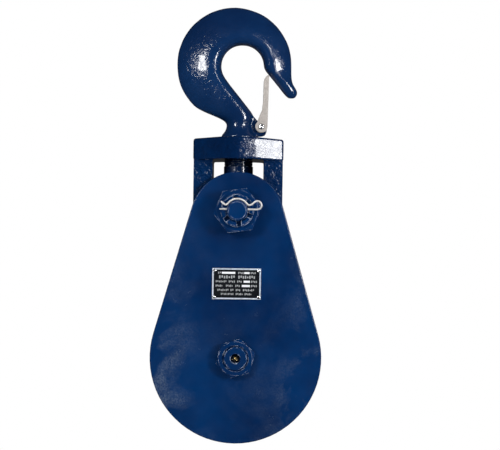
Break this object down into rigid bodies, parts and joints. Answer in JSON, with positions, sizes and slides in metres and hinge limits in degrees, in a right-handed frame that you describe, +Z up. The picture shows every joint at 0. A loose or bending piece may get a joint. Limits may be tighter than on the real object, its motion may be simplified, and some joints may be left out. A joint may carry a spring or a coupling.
{
  "type": "double sheave block",
  "caption": "Lifting block with a latched swivel hook on a forked yoke and bronze bushed rope sheaves between teardrop side plates, on one load bolt and one centre pin.",
  "frame": {"origin": "saddle of the hook, on the shank axis, where the block hangs", "axes": "+Z up along the shank, from the centre pin to the hook; -Y is the nameplate side, and the load bolt and centre pin run along Y; +X is the side the hook's throat opens to"},
  "size_m": [0.2678, 0.1959, 0.6907],
  "materials": {
    "navy_paint": "glossy navy enamel over cast and forged steel, chipped on edges",
    "bare_steel": "bare bright steel",
    "zinc_steel": "dull zinc plated sheet steel",
    "bronze": "bearing bronze, oiled",
    "plate_black": "black filled nameplate with bare raised lines",
    "fitting_brass": "grease fitting, dull brass"
  },
  "bodies": {
    "hook_body": {"hook": "navy_paint", "hook_nut": "navy_paint", "hook_nut_pin": "bare_steel", "hook_thrust_washer": "bare_steel", "hook_bronze_washer": "bronze", "latch_pin": "zinc_steel"},
    "latch_body": {"latch": "zinc_steel", "latch_spring": "bare_steel"},
    "yoke_body": {"yoke": "navy_paint"},
    "plates": {"front_cheek": "navy_paint", "rear_cheek": "navy_paint", "centre_plate": "navy_paint", "centre_pin": "bare_steel", "front_pin_nut": "navy_paint", "rear_pin_nut": "navy_paint", "front_grease_fitting": "fitting_brass", "rear_grease_fitting": "fitting_brass", "top_bolt": "navy_paint", "top_nut": "navy_paint", "hairpin_clip": "bare_steel", "nameplate": "plate_black", "nameplate_rivet_1": "bare_steel", "nameplate_rivet_2": "bare_steel", "nameplate_rivet_3": "bare_steel", "nameplate_rivet_4": "bare_steel", "front_inner_thrust_washer": "bronze", "front_outer_thrust_washer": "bronze", "rear_inner_thrust_washer": "bronze", "rear_outer_thrust_washer": "bronze"},
    "front_sheave_body": {"front_sheave": "navy_paint", "front_bush": "bronze"},
    "rear_sheave_body": {"rear_sheave": "navy_paint", "rear_bush": "bronze"}
  },
  "joints": [
    {"name": "hook_swivel", "type": "hinge", "parent": "hook_body", "child": "yoke_body", "pos_m": [0, 0, -0.1509], "axis": [0, 0, 1], "continuous": true},
    {"name": "block_tilt", "type": "hinge", "parent": "yoke_body", "child": "plates", "pos_m": [0, 0, -0.2662], "axis": [0, 1, 0], "range_deg": [-60, 60]},
    {"name": "front_sheave_spin", "type": "hinge", "parent": "plates", "child": "front_sheave_body", "pos_m": [0, -0.0296, -0.4957], "axis": [0, 1, 0], "continuous": true},
    {"name": "rear_sheave_spin", "type": "hinge", "parent": "plates", "child": "rear_sheave_body", "pos_m": [0, 0.0296, -0.4957], "axis": [0, 1, 0], "continuous": true},
    {"name": "latch_hinge", "type": "hinge", "parent": "hook_body", "child": "latch_body", "pos_m": [0.0357, 0, -0.1309], "axis": [0, -1, 0], "range_deg": [0, 36], "stiffness_Nm_per_rad": 0.25, "springref_deg": -34.38, "deforming": ["latch_spring"]}
  ]
}
